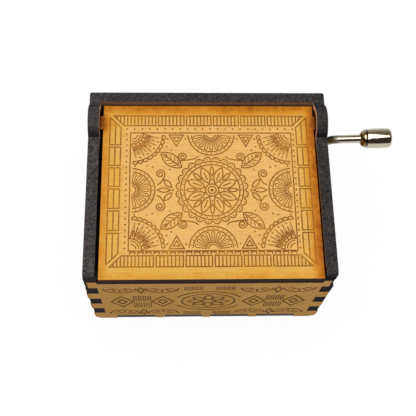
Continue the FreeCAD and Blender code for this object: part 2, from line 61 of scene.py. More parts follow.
# ---- Light ----------------------------------------------------------------------------------
room_light = 0.32
key_light = 8.6
key_size = 0.9
key_place = (-0.08, -0.06, 0.95)
floor_shade = 0.07
floor_side = 3.0
floor_drop = 0.05

# ---- Places on the case, the lid and the crank ----------------------------------------------
wall_top = 39.0
ear_y, ear_z, ear_radius = 17.75, 36.5, 5.5
pivot_hole_radius = 2.6
crank_hole = (19.65, 22.0)
crank_hole_radius = 3.0
lid_left, lid_right, lid_top = -28.15, 28.6, 38.0
scorch_past_lid = 3.0
crank_bend_x = 35.6
knob_groove_x = 43.06

# ---- Engraving ------------------------------------------------------------------------------
cut_depth = 0.14
cut_width = 0.33
wall_cut_width = 0.56
sharpest_mitre = 0.45
frame_left, frame_right = -26.35, 26.7
frame_front, frame_back = -22.95, 19.8
band_depth = 2.95
band_gap = 0.7
picket_pitch = 0.93
shortest_picket = 0.6
back_band_gaps = (-13.75, -6.14, 1.15, 8.57, 15.83)
front_band_gaps = (-14.12, -6.57, 0.76, 8.15, 15.55)
side_band_gaps = (10.75, 4.7, -1.35, -7.5, -13.6)
picket_mitre_gap = 0.9
window_mitre_gap = 0.58
bead_left, bead_right = -21.75, 22.85
bead_back, bead_front = 15.85, -18.1
bead_pitch, side_bead_pitch = 2.06, 1.648
bead_radius = 0.26
box_row_back, box_row_front = -19.1, -19.65
box_half_width = 0.65
field_left, field_right = -20.8, 22.25
field_front, field_back = -18.75, 14.65
field_inset = 0.4
wall_art_height = 18.0
near_motifs, far_motifs = 12.4, 23.4
hole_margin = 1.0


# ---- Shader tools ---------------------------------------------------------------------------
def srgb(red, green, blue):
    """A colour given in 0 to 255 steps, as the shader's linear colour."""
    def linear(step):
        share = step / 255
        return share / 12.92 if share <= 0.04045 else ((share + 0.055) / 1.055) ** 2.4
    return (linear(red), linear(green), linear(blue), 1.0)


class Socket:
    """A node's output that takes part in sums: each operator adds its Math node."""

    def __init__(self, finish, link):
        self.finish, self.link = finish, link

    def sum(self, operation, *terms):
        return self.finish.node("ShaderNodeMath", {"operation": operation}, dict(enumerate(terms)))

    def __add__(self, other):
        return self.sum("ADD", self, other)

    def __radd__(self, other):
        return self.sum("ADD", other, self)

    def __sub__(self, other):
        return self.sum("SUBTRACT", self, other)

    def __rsub__(self, other):
        return self.sum("SUBTRACT", other, self)

    def __mul__(self, other):
        return self.sum("MULTIPLY", self, other)

    def __rmul__(self, other):
        return self.sum("MULTIPLY", other, self)

    def __abs__(self):
        return self.sum("ABSOLUTE", self)

    def least(self, other):
        return self.sum("MINIMUM", self, other)

    def most(self, other):
        return self.sum("MAXIMUM", self, other)


class Finish:
    """Shader nodes of a material or the world. node() takes a node's type, its settings, and the
    values or links of its sockets, and gives one of its outputs."""

    def __init__(self, tree):
        self.tree = tree
        tree.nodes.clear()

    def node(self, kind, settings=None, sockets=None, output=0):
        made = self.tree.nodes.new(kind)
        for name, value in (settings or {}).items():
            if name == "stops":
                ramp = made.color_ramp
                while len(ramp.elements) < len(value):
                    ramp.elements.new(0.5)
                for stop, (place, colour) in zip(ramp.elements, value):
                    stop.position, stop.color = place, colour
            else:
                setattr(made, name, value)
        for name, value in (sockets or {}).items():
            if isinstance(value, Socket):
                self.tree.links.new(value.link, made.inputs[name])
            else:
                made.inputs[name].default_value = value
        return Socket(self, made.outputs[output]) if made.outputs else None

    def place(self):
        """Object coordinates in millimetres."""
        metres = self.node("ShaderNodeTexCoord", output="Object")
        return self.node("ShaderNodeVectorMath", {"operation": "SCALE"},
                         {"Vector": metres, "Scale": 1 / MM})

    def numbers(self, vector):
        """A vector's three numbers."""
        return [self.node("ShaderNodeSeparateXYZ", None, {0: vector}, axis) for axis in (X, Y, Z)]

    def facing(self, axis):
        """How squarely the surface faces along an axis, from 0 to 1."""
        normal = self.node("ShaderNodeTexCoord", output="Normal")
        return abs(self.node("ShaderNodeSeparateXYZ", None, {0: normal}, axis))

    def distance(self, point, spot):
        """How far a point lies from a fixed spot, in millimetres."""
        return self.node("ShaderNodeVectorMath", {"operation": "DISTANCE"}, {0: point, 1: spot}, 1)

    def stretched(self, point, sizes):
        """The point divided by sizes, so that noise on it has lumps as long as those sizes."""
        return self.node("ShaderNodeVectorMath", {"operation": "DIVIDE"}, {0: point, 1: sizes})

    def noise(self, point, size, detail):
        """Soft noise from 0 to 1 with lumps of about the given size in millimetres."""
        return self.node("ShaderNodeTexNoise", None,
                         {"Vector": point, "Scale": 1 / size, "Detail": detail})

    def fade(self, value, low, high):
        """0 below low and 1 above high, with a soft step between; low may be the higher."""
        return self.node("ShaderNodeMapRange", {"interpolation_type": "SMOOTHSTEP"},
                         {"Value": value, "From Min": low, "From Max": high})

    def ramp(self, value, stops):
        return self.node("ShaderNodeValToRGB", {"stops": stops}, {0: value})

    def tint(self, colour, stain, share):
        """The colour multiplied by a stain."""
        return self.node("ShaderNodeMix", {"data_type": "RGBA", "blend_type": "MULTIPLY"},
                         {0: share, 6: colour, 7: stain}, 2)

    def mix(self, first, second, share):
        return self.node("ShaderNodeMix", {"data_type": "RGBA"},
                         {0: share, 6: first, 7: second}, 2)

    def shade(self, colour, level):
        """The colour times a number that varies over the surface."""
        plain = colour if isinstance(colour, Socket) else colour[:3]
        return self.node("ShaderNodeVectorMath", {"operation": "SCALE"},
                         {"Vector": plain, "Scale": level})

    def bump(self, height, depth):
        """Relief of a height from 0 to 1, its full depth in millimetres."""
        return self.node("ShaderNodeBump", None,
                         {"Height": height, "Strength": 1.0, "Distance": depth * MM})


def material(name, build):
    """A material whose surface is what build(finish) returns."""
    made = bpy.data.materials.new(name)
    made.use_nodes = True
    finish = Finish(made.node_tree)
    finish.node("ShaderNodeOutputMaterial", None, {"Surface": build(finish)})
    return made


def strokes(axis, length, width):
    """Lump sizes of strokes that run along one axis."""
    sizes = [width, width, width]
    sizes[axis] = length
    return sizes


def surface(finish, **sockets):
    """A Principled surface; socket names are written with underscores."""
    named = {name.replace("_", " "): value for name, value in sockets.items()}
    return finish.node("ShaderNodeBsdfPrincipled", None, named)


# ---- Colours --------------------------------------------------------------------------------
heated_wood = ((0.0, srgb(228, 180, 104)), (0.3, srgb(222, 168, 70)), (0.6, srgb(206, 132, 28)),
               (0.8, srgb(164, 88, 8)), (1.0, srgb(120, 54, 4)))
grain_stain = srgb(226, 204, 168)
freckle = srgb(206, 150, 104)
# Wall faces' tint: partly smoke stain, partly painted shade of upright faces.
wall_smoke_and_shade = srgb(206, 188, 100)
# Tint of the inner faces: scorch along the cuts and painted shade.
inner_scorch_and_shade = srgb(96, 66, 48)
hole_smoke = srgb(84, 74, 58)
# Painted light of the pale lit strip along the walls' upper inner edge.
painted_rim_light = srgb(236, 182, 140)
gap_shadow = srgb(30, 14, 8)
lid_line_dark, lid_line_light = srgb(132, 76, 18), srgb(184, 120, 38)
wall_line_dark, wall_line_light = srgb(100, 54, 20), srgb(140, 88, 36)
char_dark, char_light = srgb(34, 32, 33), srgb(84, 78, 77)
char_ash = srgb(140, 130, 118)
char_brown = srgb(70, 48, 32)
nickel_dark, nickel_light = srgb(181, 171, 150), srgb(197, 189, 170)
lip_tarnish = srgb(220, 212, 190)
bend_tarnish = srgb(198, 206, 204)
# Painted shade of the knob's turned groove.
groove_painted_shade = srgb(54, 40, 26)
zinc_grey = srgb(176, 177, 178)
lead_grey = srgb(118, 120, 124)
comb_steel = srgb(196, 194, 190)
screw_plate = srgb(206, 204, 194)
pin_steel = srgb(190, 188, 184)
bar_steel = srgb(186, 186, 186)
brass_yellow = srgb(214, 178, 104)
moulding_dark, moulding_light = srgb(226, 222, 208), srgb(240, 238, 230)
floor_grey = (0.84, 0.84, 0.84, 1.0)
white = (1.0, 1.0, 1.0, 1.0)
room_front = srgb(68, 58, 52)
room_back_low, room_back_high = srgb(200, 194, 174), srgb(130, 123, 110)


# ---- Plywood --------------------------------------------------------------------------------
def wood(finish, grain_axis, heat):
    """Ply browned by heat from 0 to 1, mottled and freckled: its colour and its fine relief."""
    point = finish.place()
    grain = finish.noise(finish.stretched(point, strokes(grain_axis, 5.0, 0.4)), 1.0, 4.0)
    bands = finish.noise(finish.stretched(point, strokes(grain_axis, 40.0, 2.4)), 1.0, 2.0)
    cloud = finish.noise(point, 5.0, 2.0)
    mottle = finish.noise(point, 1.1, 3.0)
    speck = finish.noise(point, 0.42, 2.0)
    browning = heat + (cloud - 0.5) * 0.3 + (bands - 0.5) * 0.12 + (mottle - 0.5) * 0.36
    colour = finish.ramp(browning, heated_wood)
    colour = finish.tint(colour, grain_stain, finish.fade(grain, 0.48, 0.78) * 0.6)
    colour = finish.tint(colour, freckle, finish.fade(speck, 0.56, 0.72) * 0.45)
    level = 0.99 + (mottle - 0.5) * 0.2 + (speck - 0.5) * 0.44 + (bands - 0.5) * 0.12
    return finish.shade(colour, level), grain * 0.6 + speck * 0.4


def outline_heat(finish, numbers, node, thin_axis, reach):
    """Browning along a board's outline, 1 at the edge and 0 further in than its reach."""
    low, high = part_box(node)
    gaps = []
    for axis in (X, Y, Z):
        if axis != thin_axis:
            middle = (low[axis] + high[axis]) / 2 / MM
            half = (high[axis] - low[axis]) / 2 / MM
            gaps.append(half - abs(numbers[axis] - middle))
    return finish.fade(gaps[0].least(gaps[1]), reach, 0.0)


def wall_face(name, node, thin_axis, grain_axis, holes):
    """A wall's face, darker than the lid from smoke and painted shade; smokier still round its holes.
    """
    def build(finish):
        point = finish.place()
        heat = outline_heat(finish, finish.numbers(point), node, thin_axis, 1.0)
        colour, height = wood(finish, grain_axis, heat * 0.45 + 0.1)
        smoke_and_shade_cloud = finish.noise(point, 9.0, 2.0)
        # Smoke stain and painted shade: darkens the whole wall face against the lid.
        colour = finish.tint(colour, wall_smoke_and_shade, 0.75 + (smoke_and_shade_cloud - 0.5) * 0.5)
        outer_x = max((corner[X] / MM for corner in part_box(node)), key=abs)
        for y, z, radius in holes:
            smoky = finish.fade(finish.distance(point, (outer_x, y, z)), radius + 4.5, radius)
            colour = finish.mix(colour, hole_smoke, smoky * 0.8)
        return surface(finish, Base_Color=colour, Roughness=0.62, Specular_IOR_Level=0.14,
                       Normal=finish.bump(height, 0.05))
    return material(name, build)


def rim_gap(finish, numbers, node):
    """How far a point of a wall's inner face lies below the wall's upper edge, ear included."""
    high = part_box(node)[1]
    if "left" not in node and "right" not in node:
        return high[Z] / MM - numbers[Z]
    along, up = numbers[Y] - ear_y, numbers[Z] - ear_z
    reach = finish.node("ShaderNodeMath", {"operation": "SQRT"}, {0: along * along + up * up})
    return (wall_top - numbers[Z]).most(ear_radius - reach)


def scorched_and_shaded_face(name, node, thin_axis, grain_axis):
    """A board's inner face, scorched along its cuts and darkened further by painted shade. A wall's
    has a painted lit strip along its upper edge, then the painted shadow of the lid gap, and plain
    ply further down; a side wall's inner face carries more painted shade, most of all the left one's."""
    def build(finish):
        point = finish.place()
        numbers = finish.numbers(point)
        # The wide browning reach is partly scorch and partly painted shade of the inner face.
        heat = outline_heat(finish, numbers, node, thin_axis, 4.5)
        colour, height = wood(finish, grain_axis, heat * 1.1 + 0.2)
        smoke_and_shade_cloud = finish.noise(point, 8.0, 2.0)
        # Scorch and painted shade: the dark inner tint near the outline and in patches.
        colour = finish.tint(colour, inner_scorch_and_shade, (heat + smoke_and_shade_cloud * 0.6).least(1.0))
        if thin_axis != Z:
            depth = rim_gap(finish, numbers, node)
            rim_end, shadow_start = (0.7, 1.5) if thin_axis == X else (1.5, 2.6)
            # Painted shadow of the lid gap below the rim.
            colour = finish.mix(colour, gap_shadow, finish.fade(depth, rim_end, shadow_start))
            # Painted light: a paler lit strip along the upper edge, over the ear on a side wall.
            painted_lit_rim = finish.fade(depth, shadow_start, rim_end)
            if thin_axis == X:
                # Painted shade over a side wall's inner face, heaviest on the left wall.
                colour = finish.mix(colour, gap_shadow, 0.9 if "left" in node else 0.4)
                painted_lit_rim = painted_lit_rim * finish.fade(numbers[Y], 9.0, 14.0)
            else:
                painted_lit_rim = painted_lit_rim * 0.35
            colour = finish.mix(colour, painted_rim_light, painted_lit_rim)
            deep = finish.fade(depth, 5.0, 9.0)
            plain, _ = wood(finish, grain_axis, 0.25)
            colour = finish.mix(colour, plain, deep)
        return surface(finish, Base_Color=colour, Roughness=0.7, Specular_IOR_Level=0.2,
                       Normal=finish.bump(height, 0.05))
    return material(name, build)


def lid_face(name):
    """The lid's face is browned most at the back and right edges and round the pivot tabs."""
    def build(finish):
        point = finish.place()
        numbers = finish.numbers(point)
        low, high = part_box("lid")
        sides = ((numbers[X] - lid_left, 4.5, 0.5), (lid_right - numbers[X], 5.5, 0.74),
                 (high[Y] / MM - numbers[Y], 6.0, 0.7), (numbers[Y] - low[Y] / MM, 5.0, 0.4))
        heat = 0.0
        for gap, reach, most in sides:
            edge = finish.fade(gap, reach, 0.4) * most
            heat = edge.most(finish.fade(gap, 9.0, 2.0) * 0.27).most(heat)
        for x, reach in ((lid_left - scorch_past_lid, 9.5), (lid_right + scorch_past_lid, 10.4)):
            near = finish.distance(point, (x, ear_y, lid_top))
            heat = heat.most(finish.fade(near, reach, 0.0) * 1.1)
        colour, height = wood(finish, X, heat)
        return surface(finish, Base_Color=colour, Roughness=0.62, Specular_IOR_Level=0.14,
                       Normal=finish.bump(height, 0.05))
    return material(name, build)


def char(finish, point, brown):
    """Soot with fine pale ash; brown is the share of it that is only scorched."""
    fine = finish.noise(point, 0.35, 3.0)
    patch = finish.noise(point, 2.4, 2.0)
    fleck = finish.noise(point, 0.22, 2.0)
    colour = finish.mix(char_dark, char_light, finish.fade(fine, 0.3, 0.75))
    colour = finish.mix(colour, char_ash, finish.fade(fleck * 0.6 + patch * 0.4, 0.58, 0.68) * 0.4)
    return finish.mix(colour, char_brown, finish.fade(patch, 0.75 - brown, 1.0 - brown) * 0.9), fine


def charred_edge(name, thin_axis, brown, level):
    """Laser-burnt edge: soot and the beam's fine ridges through the board's thickness. What faces
    neither up nor down gets painted shade, and level is each board's painted light."""
    def build(finish):
        point = finish.place()
        colour, fine = char(finish, point, brown)
        ridges = finish.noise(finish.stretched(point, strokes(thin_axis, 6.0, 0.16)), 1.0, 1.0)
        # Painted shade: char that faces sideways is darkened, as if lit only from above.
        painted_facing_shade = 0.3 + finish.fade(finish.facing(Z), 0.5, 1.0) * 0.7
        return surface(finish, Base_Color=finish.shade(colour, (0.8 + ridges * 0.4) * painted_facing_shade * level),
                       Roughness=0.8, Specular_IOR_Level=0.06,
                       Normal=finish.bump(ridges * 0.6 + fine * 0.4, 0.08))
    return material(name, build)


def engraved_line(name, dark, light):
    """Scorched bottom of an engraved line."""
    def build(finish):
        point = finish.place()
        burn = finish.noise(point, 0.5, 2.0)
        drift = finish.noise(point, 5.0, 1.0)
        colour = finish.mix(dark, light, finish.fade(burn * 0.5 + drift * 0.5, 0.3, 0.7))
        return surface(finish, Base_Color=colour, Roughness=0.75, Specular_IOR_Level=0.25,
                       Normal=finish.bump(burn, 0.04))
    return material(name, build)


def tabbed_board(name, node, thin_axis, grain_axis):
    """One finish for a board that keeps its own solid: ply on its two faces, else char."""
    def build(finish):
        point = finish.place()
        heat = outline_heat(finish, finish.numbers(point), node, thin_axis, 4.0)
        colour, height = wood(finish, grain_axis, heat * 0.8 + 0.1)
        soot, fine = char(finish, point, 0.45)
        colour = finish.mix(colour, soot, finish.fade(finish.facing(thin_axis), 0.8, 0.6))
        return surface(finish, Base_Color=colour, Roughness=0.68, Specular_IOR_Level=0.25,
                       Normal=finish.bump(height * 0.7 + fine * 0.3, 0.06))
    return material(name, build)


# ---- Metals and plastic ---------------------------------------------------------------------
def brushed_metal(name, colour, roughness, mark_sizes, depth):
    """Metal with fine tool marks and a slight cloudy tarnish."""
    def build(finish):
        point = finish.place()
        marks = finish.noise(finish.stretched(point, mark_sizes), 1.0, 2.0)
        cloud = finish.noise(point, 3.0, 2.0)
        tone = finish.shade(colour, 1.0 - (1.0 - cloud) * 0.15)
        return surface(finish, Base_Color=tone, Metallic=1.0,
                       Roughness=roughness + (marks - 0.5) * 0.12 + (cloud - 0.5) * 0.08,
                       Normal=finish.bump(marks, depth))
    return material(name, build)


def cast_metal(name, colour, roughness):
    """Matt casting with a fine sandy skin."""
    def build(finish):
        point = finish.place()
        sand = finish.noise(point, 0.22, 3.0)
        cloud = finish.noise(point, 4.0, 2.0)
        tone = finish.shade(colour, 0.88 + cloud * 0.2 + (sand - 0.5) * 0.15)
        return surface(finish, Base_Color=tone, Metallic=0.9,
                       Roughness=roughness + (sand - 0.5) * 0.2,
                       Normal=finish.bump(sand, 0.06))
    return material(name, build)


def moulded_plastic(name):
    """Smooth white moulding."""
    def build(finish):
        point = finish.place()
        cloud = finish.noise(point, 2.5, 2.0)
        skin = finish.noise(point, 0.2, 2.0)
        tone = finish.mix(moulding_dark, moulding_light, cloud)
        return surface(finish, Base_Color=tone, Roughness=0.38 + (skin - 0.5) * 0.15,
                       Subsurface_Weight=0.1, Subsurface_Scale=0.5 * MM,
                       Normal=finish.bump(skin, 0.02))
    return material(name, build)


def bright_nickel(name, groove_x=None, bend_x=None):
    """Polished plating with faint wiping marks. A turned groove gets painted shade and the lip in
    front of it is a little tarnished, and bending has dulled the arm up to the bend."""
    def build(finish):
        point = finish.place()
        along = finish.numbers(point)[X]
        wipe = finish.noise(finish.stretched(point, strokes(X, 3.0, 0.5)), 1.0, 2.0)
        haze = finish.noise(point, 1.6, 2.0)
        tone = finish.mix(nickel_dark, nickel_light, haze)
        if groove_x is not None:
            tone = finish.tint(tone, lip_tarnish, finish.fade(along, groove_x, groove_x - 0.3))
            # Painted shade in the knob's turned groove.
            groove_shade = finish.fade(abs(along - groove_x), 0.34, 0.2)
            tone = finish.mix(tone, groove_painted_shade, groove_shade * 0.9)
        roughness = 0.10 + finish.fade(haze, 0.4, 0.8) * 0.1
        if bend_x is not None:
            dull = finish.fade(along, bend_x + 0.7, bend_x - 0.5)
            tone = finish.tint(tone, bend_tarnish, dull)
            roughness = roughness + dull * 0.28
        return surface(finish, Base_Color=tone, Metallic=1.0, Roughness=roughness,
                       Normal=finish.bump(wipe, 0.0015))
    return material(name, build)


# ---- Ornament: each motif is a list of flat polygons, in millimetres -------------------------
def line(points, width=cut_width, closed=False):
    """An engraved line as quads, mitred where it turns."""
    count = len(points)
    sides = []
    for i, (x, y) in enumerate(points):
        before = points[i - 1] if (i or closed) else None
        after = points[(i + 1) % count] if (i + 1 < count or closed) else None
        ways = [Vector((x - before[0], y - before[1])).normalized()] if before else []
        ways += [Vector((after[0] - x, after[1] - y)).normalized()] if after else []
        way = sum(ways, Vector((0, 0))).normalized() if len(ways) == 2 else ways[0]
        reach = width / 2 / max(sharpest_mitre, way.dot(ways[0]))
        sides.append(((x - way.y * reach, y + way.x * reach), (x + way.y * reach, y - way.x * reach)))
    last = count if closed else count - 1
    return [[sides[i][0], sides[(i + 1) % count][0], sides[(i + 1) % count][1], sides[i][1]]
            for i in range(last)]


def arc_points(x, y, radius, start, end, steps):
    """Points of an arc, its ends in degrees."""
    angles = [math.radians(start + (end - start) * i / steps) for i in range(steps + 1)]
    return [(x + radius * math.cos(angle), y + radius * math.sin(angle)) for angle in angles]


def arc(x, y, radius, start, end, steps, width=cut_width):
    return line(arc_points(x, y, radius, start, end, steps), width)


def circle(x, y, radius, steps=24, width=cut_width):
    return line(arc_points(x, y, radius, 0, 360, steps)[:-1], width, closed=True)


def dot(x, y, radius=bead_radius, steps=8):
    """A bead, cut out whole."""
    return [arc_points(x, y, radius, 22.5, 382.5, steps)[:-1]]


def petal(near, far, half_width, steps=6, width=cut_width):
    """A pointed leaf's outline along +X."""
    def side(sign, step):
        share = step / steps
        return near + (far - near) * share, sign * half_width * math.sin(math.pi * share) ** 0.8
    upper = [side(1, i) for i in range(steps + 1)]
    lower = [side(-1, i) for i in range(steps - 1, 0, -1)]
    return line(upper + lower, width, closed=True)


def slot(near, far, near_half, far_half, width):
    """A long slot's outline along +X with a rounded far end."""
    outline = [(near, -near_half), (near, near_half), (far - far_half, far_half)]
    outline += arc_points(far - far_half, 0, far_half, 60, -60, 3)
    outline += [(far - far_half, -far_half)]
    return line(outline, width, closed=True)


def spiral(x, y, radius, turns, start, hand, tail):
    """A scroll that winds out from its eye; tail holds further points of the same line."""
    steps = int(turns * 14)
    points = []
    for i in range(steps + 1):
        share = i / steps
        angle = math.radians(start) + hand * math.tau * turns * (share - 1)
        reach = radius * (0.18 + 0.82 * share)
        points.append((x + reach * math.cos(angle), y + reach * math.sin(angle)))
    return line(points + tail)


def moved(art, x, y):
    return [[(px + x, py + y) for px, py in shape] for shape in art]


def turned(art, degrees):
    angle = math.radians(degrees)
    cosine, sine = math.cos(angle), math.sin(angle)
    return [[(px * cosine - py * sine, px * sine + py * cosine) for px, py in shape]
            for shape in art]


def flipped(art, x_sign, y_sign):
    return [[(px * x_sign, py * y_sign) for px, py in shape] for shape in art]


def four_ways(art):
    """The art mirrored into all four quarters."""
    return [shape for xs in (1, -1) for ys in (1, -1) for shape in flipped(art, xs, ys)]


def around(art, count, start=0.0):
    """The art repeated round the middle."""
    return [shape for i in range(count) for shape in turned(art, start + i * 360 / count)]


def lozenge(x, y, half_x, half_y, width):
    return line([(x - half_x, y), (x, y + half_y), (x + half_x, y), (x, y - half_y)], width, True)


# ---- Lid ornament ---------------------------------------------------------------------------
def picket_panel(outline, outer, inner, mitre):
    """One band panel: its outline and the upright strokes in it; a mitred end cuts them short."""
    left, right = min(x for x, y in outline), max(x for x, y in outline)
    count = round((right - left) / picket_pitch)
    art = line(outline, closed=True)
    for i in range(1, count):
        x = left + (right - left) * i / count
        stop = inner
        if mitre:
            corner, foot = mitre
            if (x - foot) * (corner - foot) > 0:
                stop = inner + (outer - inner) * (x - foot) / (corner - foot)
        if abs(stop - outer) > shortest_picket:
            art += line([(x, outer), (x, stop)])
    return art


def picket_band(outer, inner, gaps):
    """A row of picket panels from one mitred corner to the other."""
    art = []
    starts = [frame_left + picket_mitre_gap] + [gap + band_gap / 2 for gap in gaps]
    ends = [gap - band_gap / 2 for gap in gaps] + [frame_right - picket_mitre_gap]
    for i, (start, end) in enumerate(zip(starts, ends)):
        foot_start = start + band_depth if i == 0 else start
        foot_end = end - band_depth if i == len(gaps) else end
        mitre = (start, foot_start) if i == 0 else (end, foot_end) if i == len(gaps) else None
        outline = [(start, outer), (end, outer), (foot_end, inner), (foot_start, inner)]
        art += picket_panel(outline, outer, inner, mitre)
    return art


def window_band(outer, inner):
    """A column of narrow windows, each split by a line, between the mitred corners."""
    art = []
    middle = (outer + inner) / 2
    starts = [frame_back - window_mitre_gap] + [gap - band_gap / 2 for gap in side_band_gaps]
    ends = [gap + band_gap / 2 for gap in side_band_gaps] + [frame_front + window_mitre_gap]
    last = len(side_band_gaps)
    for i, (start, end) in enumerate(zip(starts, ends)):
        inner_start = start - band_depth if i == 0 else start
        inner_end = end + band_depth if i == last else end
        art += line([(outer, start), (outer, end), (inner, inner_end), (inner, inner_start)],
                    closed=True)
        art += line([(middle, (start + inner_start) / 2), (middle, (end + inner_end) / 2)])
    return art


def bead_rows():
    """Beads along the back and the sides, small boxes along the front."""
    art = []
    across = round((bead_right - bead_left) / bead_pitch)
    for i in range(across + 1):
        art += dot(bead_left + (bead_right - bead_left) * i / across, bead_back)
    down = round((bead_back - bead_front) / side_bead_pitch)
    for i in range(1, down + 1):
        y = bead_back + (bead_front - bead_back) * i / down
        art += dot(bead_left, y) + dot(bead_right, y)
    boxes = round((field_right - field_left) / bead_pitch)
    for i in range(boxes):
        x = field_left + (field_right - field_left) * (i + 0.5) / boxes
        left, right = x - box_half_width, x + box_half_width
        art += line([(left, box_row_front), (left, box_row_back),
                     (right, box_row_back), (right, box_row_front)])
    return art


def field_frame():
    """The line round the lid's inner field."""
    return line([(field_left, field_front), (field_right, field_front),
                 (field_right, field_back), (field_left, field_back)], closed=True)


def ring_of(art, radius, count, start=0.0):
    """A motif drawn round a point on the +X side, repeated round the middle."""
    return around(moved(art, radius, 0), count, start)


def rosette():
    """Eight ribbed petals with smaller ones between, in a beaded ring with a scalloped edge."""
    art = dot(0, 0, 0.45) + circle(0, 0, 1.05) + circle(0, 0, 1.75)
    art += around(petal(2.05, 6.9, 1.12) + line([(3.0, 0), (5.4, 0)]), 8, 22.5)
    art += around(petal(4.0, 6.8, 0.5, 4) + dot(3.1, 0, 0.22), 8)
    art += circle(0, 0, 7.3, 48) + ring_of(dot(0, 0, 0.2, 6), 7.78, 32) + circle(0, 0, 8.25, 48)
    return art + ring_of(arc(0, 0, 0.95, -90, 90, 8) + dot(0.35, 0, 0.2, 6), 8.55, 24, 7.5)


def quarter_sun(x, y):
    """A quarter sun in the field's corner: rays, lines with beads between them, and scallops."""
    art = arc(0, 0, 1.5, 186, 264, 6) + arc(0, 0, 2.3, 183, 267, 8)
    ray = line([(2.9, -0.55), (7.4, 0), (2.9, 0.55)], closed=True) + line([(3.5, 0), (5.2, 0)])
    for i in range(5):
        art += turned(ray, 189 + i * 18)
    for i in range(4):
        art += turned(line([(4.0, 0), (6.4, 0)]) + dot(7.25, 0, 0.26), 198 + i * 18)
    art += arc(0, 0, 8.1, 182, 268, 16)
    scallop = arc(8.3, 0, 0.66, -90, 90, 6)
    for i in range(9):
        art += turned(scallop, 186.5 + i * 9.6)
    return moved(art, x, y)


def shell(x, y, degrees):
    """A half-round shell of nine rounded slots in a beaded rim, standing on the field's edge."""
    art = arc(0, 0, 1.25, -82, 82, 8) + arc(0, 0, 5.2, -86, 86, 18) + arc(0, 0, 6.2, -87, 87, 20)
    for i in range(9):
        art += turned(slot(1.75, 4.75, 0.16, 0.4, 0.24), -78 + i * 19.5)
    for i in range(13):
        art += turned(dot(5.7, 0, 0.18, 6), -78 + i * 13)
    return moved(turned(art, degrees), x, y)


def ribbed_leaf(near, far, half_width):
    """A broad leaf along +X with a midrib and four pairs of side ribs."""
    art = petal(near, far, half_width, 10) + line([(near + 0.5, 0), (far - 0.6, 0)])
    for i in range(4):
        share = 0.2 + i * 0.17
        foot = near + (far - near) * share
        reach = half_width * math.sin(math.pi * (share + 0.14)) ** 0.8 - 0.4
        for side in (1, -1):
            art += line([(foot, side * 0.25), (foot + (far - near) * 0.13, side * reach)], 0.22)
    return art


def palmette(x):
    """Three slim leaves that open outwards from a bead."""
    art = dot(0.35, 0, 0.3)
    for degrees, reach in ((-48, 4.0), (0, 4.4), (48, 4.0)):
        art += turned(petal(1.0, reach, 0.62, 5), degrees)
    return moved(art, x, 0)


def nested_triangles(x, y, half_base, height):
    """A triangle with a smaller one in it, both pointing into the field."""
    outer = line([(x - half_base, y), (x + half_base, y), (x, y - height)], closed=True)
    inner = line([(x - half_base * 0.45, y - height * 0.2), (x + half_base * 0.45, y - height * 0.2),
                  (x, y - height * 0.62)], closed=True)
    return outer + inner


def lid_field():
    """The generic centre design, laid out from the field's middle and mirrored both ways."""
    half_x, half_y = (field_right - field_left) / 2, (field_back - field_front) / 2
    edge_x, edge_y = half_x - field_inset, half_y - field_inset
    art = rosette()
    art += shell(0, edge_y, -90) + shell(0, -edge_y, 90)
    art += shell(edge_x, 0, 180) + shell(-edge_x, 0, 0)
    art += palmette(9.9) + flipped(palmette(9.9), -1, 1)
    corner = quarter_sun(edge_x, edge_y)
    corner += nested_triangles(9.3, half_y - 0.6, 1.9, 3.4)
    corner += turned(ribbed_leaf(10.2, 17.2, 1.7), 39)
    corner += spiral(7.6, 9.6, 1.3, 1.7, -60, -1, [(6.1, 8.7), (4.6, 9.0), (3.6, 9.7)])
    corner += spiral(13.6, 4.6, 1.3, 1.7, 200, 1, [(12.9, 2.9), (13.6, 1.9), (14.4, 1.5)])
    corner += dot(10.7, 11.6, 0.26) + dot(11.9, 12.6, 0.22) + dot(11.6, 14.9, 0.26)
    corner += dot(15.6, 6.6, 0.26) + dot(17.0, 7.0, 0.22) + dot(20.2, 6.9, 0.26)
    corner += dot(6.9, 14.9, 0.24) + dot(11.1, 5.9, 0.22) + dot(8.7, 7.7, 0.22)
    art += four_ways(corner)
    return moved(art, (field_right + field_left) / 2, (field_back + field_front) / 2)


def lid_ornament():
    """All that is engraved on the lid: the framed border and the inner field."""
    art = picket_band(frame_back, frame_back - band_depth, back_band_gaps)
    art += picket_band(frame_front, frame_front + band_depth, front_band_gaps)
    art += window_band(frame_left, frame_left + band_depth)
    art += window_band(frame_right, frame_right - band_depth)
    return art + bead_rows() + field_frame() + lid_field()


# ---- Wall ornament --------------------------------------------------------------------------
def flower(radius):
    """An eight-petalled flower in a ring."""
    petals = around(petal(radius * 0.2, radius * 0.8, radius * 0.17, 5, wall_cut_width), 8)
    return petals + circle(0, 0, radius, 32, wall_cut_width)


def pickets(x, y, count, height):
    """A small group of short slots."""
    art = []
    for i in range(count):
        foot = x + (i - (count - 1) / 2) * 1.3
        art += line([(foot - 0.32, y - height / 2), (foot - 0.32, y + height / 2),
                     (foot + 0.32, y + height / 2), (foot + 0.32, y - height / 2)], 0.3, True)
    return art


def half_sun(x, y, degrees):
    """Half a ring with five rays in it."""
    art = arc(0, 0, 4.3, -86, 86, 14, wall_cut_width)
    ray = line([(1.4, 0), (3.4, 0)], wall_cut_width)
    for i in range(5):
        art += turned(ray, i * 36 - 72)
    return moved(turned(art, degrees), x, y)


